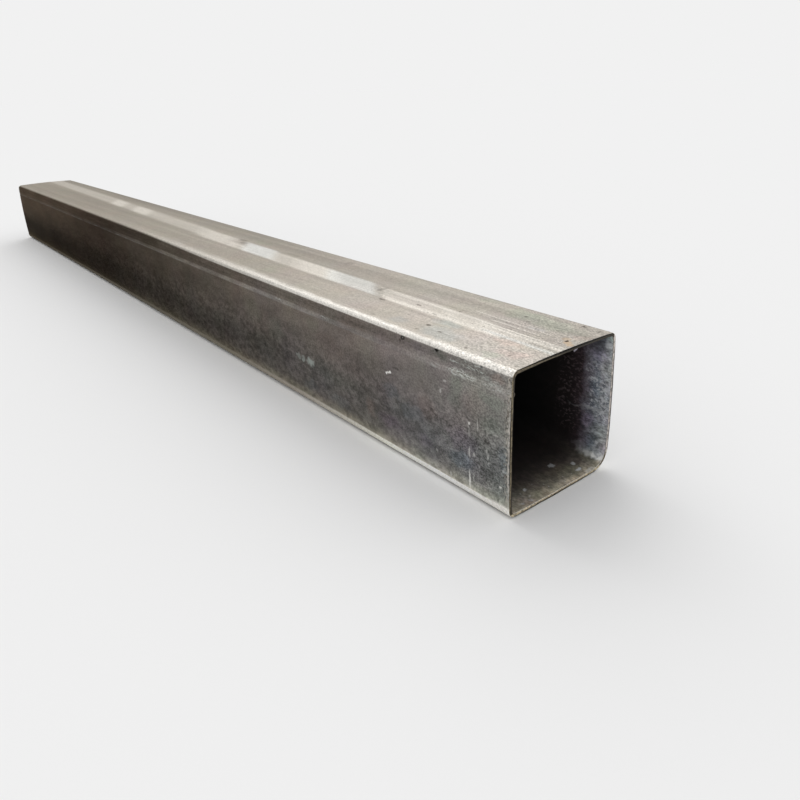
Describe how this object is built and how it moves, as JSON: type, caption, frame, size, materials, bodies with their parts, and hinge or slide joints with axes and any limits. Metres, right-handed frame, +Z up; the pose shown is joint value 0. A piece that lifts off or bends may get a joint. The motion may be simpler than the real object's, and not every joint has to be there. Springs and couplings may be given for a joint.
{
  "type": "square steel tube",
  "caption": "Length of bare mild-steel square tube, cold formed and seam welded, open at both sawn ends, with rounded corners and an inside weld bead.",
  "frame": {"origin": "under the middle of the tube, on its resting face", "axes": "+X along the tube towards its pictured end, +Z up, -Y is the side with the weld seam"},
  "size_m": [1, 0.08, 0.08],
  "materials": {
    "bare_steel": "bare cold-formed mild steel: darker mill finish on the sides, worn light lengthwise streaks on the top, thin handling rust specks, raw sawn ends"
  },
  "bodies": {
    "root": {"square_tube": "bare_steel"}
  },
  "joints": []
}
